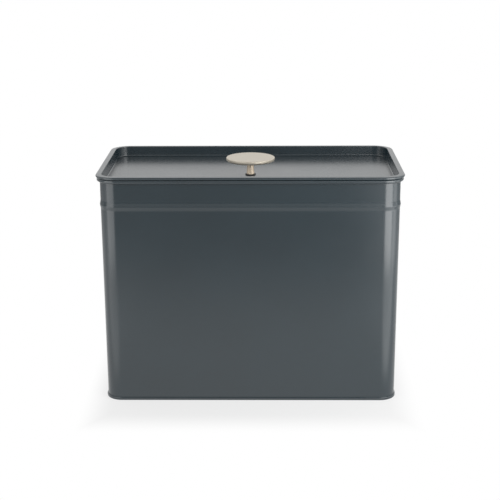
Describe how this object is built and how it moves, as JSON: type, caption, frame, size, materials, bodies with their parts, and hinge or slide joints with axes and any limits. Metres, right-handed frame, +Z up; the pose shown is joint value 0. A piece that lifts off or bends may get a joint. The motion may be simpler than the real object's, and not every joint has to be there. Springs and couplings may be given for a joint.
{
  "type": "bread box",
  "caption": "Upright rectangular sheet-steel bread box with rounded corners, a raised bead, a rolled base seam and a recessed lift-off lid with a round disc knob.",
  "frame": {"origin": "on the floor, under the middle of the box", "axes": "+Z up, +X along the long side, -Y towards the front"},
  "size_m": [0.334, 0.1784, 0.265],
  "materials": {
    "body_coat": "satin",
    "lid_coat": "satin",
    "knob_metal": "satin",
    "gasket_rubber": "matte",
    "screw_steel": "satin"
  },
  "bodies": {
    "body": {"body_wall": "body_coat", "base_panel": "body_coat"},
    "lid": {"lid_pan": "lid_coat", "knob_disc": "knob_metal", "knob_stem": "knob_metal", "knob_gasket": "gasket_rubber", "screw_washer": "screw_steel", "knob_screw": "screw_steel"}
  },
  "joints": [
    {"name": "lid_lift", "type": "slide", "parent": "body", "child": "lid", "axis": [0, 0, 1], "range_m": [0, 0.15]}
  ]
}
